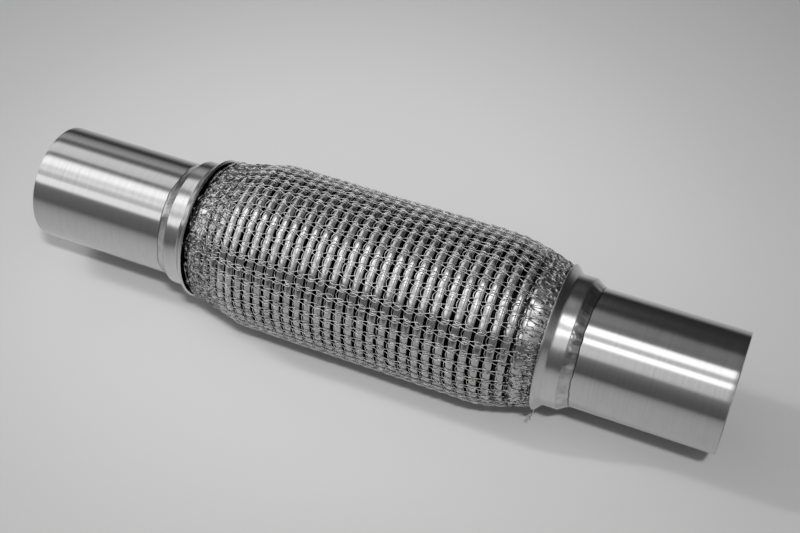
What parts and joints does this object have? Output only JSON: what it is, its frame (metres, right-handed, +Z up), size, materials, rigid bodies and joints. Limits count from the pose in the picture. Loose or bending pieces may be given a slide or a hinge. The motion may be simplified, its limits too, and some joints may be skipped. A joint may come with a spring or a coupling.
{
  "type": "metal bellows expansion joint",
  "caption": "Flexible pipe coupling: plain tube stubs, flared end caps, and a thin-wall bellows with a strip-wound liner under a knitted wire sleeve.",
  "frame": {"origin": "on the pipe axis, half way between the two stub ends", "axes": "+X along the pipe axis towards the right stub, +Z up as it lies"},
  "size_m": [0.305, 0.0724, 0.0724],
  "materials": {
    "polished_tube": "polished stainless, fine brushing round the tube",
    "cap_sheet": "satin stainless sheet",
    "weld": "rippled weld metal, slightly dull",
    "bellows_sheet": "bright formed stainless",
    "mesh_wire": "bright drawn stainless wire, knitted",
    "liner_strip": "folded stainless strip, satin",
    "ring": "plain stainless"
  },
  "bodies": {
    "left_end": {"left_stub_tube": "polished_tube", "left_weld_bead": "weld", "left_end_cap": "cap_sheet", "left_support_ring": "ring", "left_bellows_cuff": "bellows_sheet", "left_mesh_hem": "mesh_wire", "left_liner_collar": "liner_strip"},
    "span_1": {"bellows_span_1": "bellows_sheet", "mesh_span_1": "mesh_wire", "liner_span_1": "liner_strip"},
    "span_2": {"bellows_span_2": "bellows_sheet", "mesh_span_2": "mesh_wire", "liner_span_2": "liner_strip"},
    "span_3": {"bellows_span_3": "bellows_sheet", "mesh_span_3": "mesh_wire", "liner_span_3": "liner_strip"},
    "span_4": {"bellows_span_4": "bellows_sheet", "mesh_span_4": "mesh_wire", "liner_span_4": "liner_strip"},
    "span_5": {"bellows_span_5": "bellows_sheet", "mesh_span_5": "mesh_wire", "liner_span_5": "liner_strip"},
    "span_6": {"bellows_span_6": "bellows_sheet", "mesh_span_6": "mesh_wire", "liner_span_6": "liner_strip"},
    "span_7": {"bellows_span_7": "bellows_sheet", "mesh_span_7": "mesh_wire", "liner_span_7": "liner_strip"},
    "span_8": {"bellows_span_8": "bellows_sheet", "mesh_span_8": "mesh_wire", "liner_span_8": "liner_strip"},
    "span_9": {"bellows_span_9": "bellows_sheet", "mesh_span_9": "mesh_wire", "liner_span_9": "liner_strip"},
    "span_10": {"bellows_span_10": "bellows_sheet", "mesh_span_10": "mesh_wire", "liner_span_10": "liner_strip"},
    "span_11": {"bellows_span_11": "bellows_sheet", "mesh_span_11": "mesh_wire", "liner_span_11": "liner_strip"},
    "right_end": {"right_stub_tube": "polished_tube", "right_weld_bead": "weld", "right_end_cap": "cap_sheet", "right_support_ring": "ring", "right_bellows_cuff": "bellows_sheet", "right_mesh_hem": "mesh_wire", "right_liner_collar": "liner_strip"}
  },
  "joints": [
    {"name": "left_bend_pitch", "type": "hinge", "parent": "left_end", "child": "span_1", "pos_m": [-0.06237, 0, 0], "axis": [0, 1, 0], "range_deg": [-4, 4], "stiffness_Nm_per_rad": 40, "deforming": ["left_bellows_cuff", "left_mesh_hem", "left_liner_collar", "bellows_span_1", "mesh_span_1", "liner_span_1"]},
    {"name": "axial", "type": "slide", "parent": "span_1", "child": "span_2", "axis": [1, 0, 0], "range_m": [-0.0025, 0.0015], "stiffness_N_per_m": 80000, "deforming": ["bellows_span_1", "mesh_span_1", "liner_span_1", "bellows_span_2", "mesh_span_2", "liner_span_2"]},
    {"name": "left_bend_yaw", "type": "hinge", "parent": "span_2", "child": "span_3", "pos_m": [-0.04057, 0, 0], "axis": [0, 0, 1], "range_deg": [-4, 4], "stiffness_Nm_per_rad": 40, "deforming": ["bellows_span_2", "mesh_span_2", "liner_span_2", "bellows_span_3", "mesh_span_3", "liner_span_3"]},
    {"name": "axial_2", "type": "slide", "parent": "span_3", "child": "span_4", "axis": [1, 0, 0], "range_m": [-0.0025, 0.0015], "stiffness_N_per_m": 80000, "deforming": ["bellows_span_3", "mesh_span_3", "liner_span_3", "bellows_span_4", "mesh_span_4", "liner_span_4"]},
    {"name": "left_bend_pitch_2", "type": "hinge", "parent": "span_4", "child": "span_5", "pos_m": [-0.01807, 0, 0], "axis": [0, 1, 0], "range_deg": [-4, 4], "stiffness_Nm_per_rad": 40, "deforming": ["bellows_span_4", "mesh_span_4", "liner_span_4", "bellows_span_5", "mesh_span_5", "liner_span_5"]},
    {"name": "left_bend_yaw_2", "type": "hinge", "parent": "span_5", "child": "span_6", "pos_m": [-0.00887, 0, 0], "axis": [0, 0, 1], "range_deg": [-4, 4], "stiffness_Nm_per_rad": 40, "deforming": ["bellows_span_5", "mesh_span_5", "liner_span_5", "bellows_span_6", "mesh_span_6", "liner_span_6"]},
    {"name": "right_bend_yaw", "type": "hinge", "parent": "span_6", "child": "span_7", "pos_m": [0.00514, 0, 0], "axis": [0, 0, 1], "range_deg": [-4, 4], "stiffness_Nm_per_rad": 40, "deforming": ["bellows_span_6", "mesh_span_6", "liner_span_6", "bellows_span_7", "mesh_span_7", "liner_span_7"]},
    {"name": "right_bend_pitch", "type": "hinge", "parent": "span_7", "child": "span_8", "pos_m": [0.01462, 0, 0], "axis": [0, 1, 0], "range_deg": [-4, 4], "stiffness_Nm_per_rad": 40, "deforming": ["bellows_span_7", "mesh_span_7", "liner_span_7", "bellows_span_8", "mesh_span_8", "liner_span_8"]},
    {"name": "axial_3", "type": "slide", "parent": "span_8", "child": "span_9", "axis": [1, 0, 0], "range_m": [-0.0025, 0.0015], "stiffness_N_per_m": 80000, "deforming": ["bellows_span_8", "mesh_span_8", "liner_span_8", "bellows_span_9", "mesh_span_9", "liner_span_9"]},
    {"name": "right_bend_yaw_2", "type": "hinge", "parent": "span_9", "child": "span_10", "pos_m": [0.03882, 0, 0], "axis": [0, 0, 1], "range_deg": [-4, 4], "stiffness_Nm_per_rad": 40, "deforming": ["bellows_span_9", "mesh_span_9", "liner_span_9", "bellows_span_10", "mesh_span_10", "liner_span_10"]},
    {"name": "axial_4", "type": "slide", "parent": "span_10", "child": "span_11", "axis": [1, 0, 0], "range_m": [-0.0025, 0.0015], "stiffness_N_per_m": 80000, "deforming": ["bellows_span_10", "mesh_span_10", "liner_span_10", "bellows_span_11", "mesh_span_11", "liner_span_11"]},
    {"name": "right_bend_pitch_2", "type": "hinge", "parent": "span_11", "child": "right_end", "pos_m": [0.06372, 0, 0], "axis": [0, 1, 0], "range_deg": [-4, 4], "stiffness_Nm_per_rad": 40, "deforming": ["bellows_span_11", "mesh_span_11", "liner_span_11", "right_bellows_cuff", "right_mesh_hem", "right_liner_collar"]}
  ],
  "couplings": [
    {"joint": "axial_2", "follows": "axial", "ratio": 1},
    {"joint": "left_bend_pitch_2", "follows": "left_bend_pitch", "ratio": 1},
    {"joint": "left_bend_yaw_2", "follows": "left_bend_yaw", "ratio": 1},
    {"joint": "axial_3", "follows": "axial", "ratio": 1},
    {"joint": "right_bend_yaw_2", "follows": "right_bend_yaw", "ratio": 1},
    {"joint": "axial_4", "follows": "axial", "ratio": 1},
    {"joint": "right_bend_pitch_2", "follows": "right_bend_pitch", "ratio": 1}
  ]
}
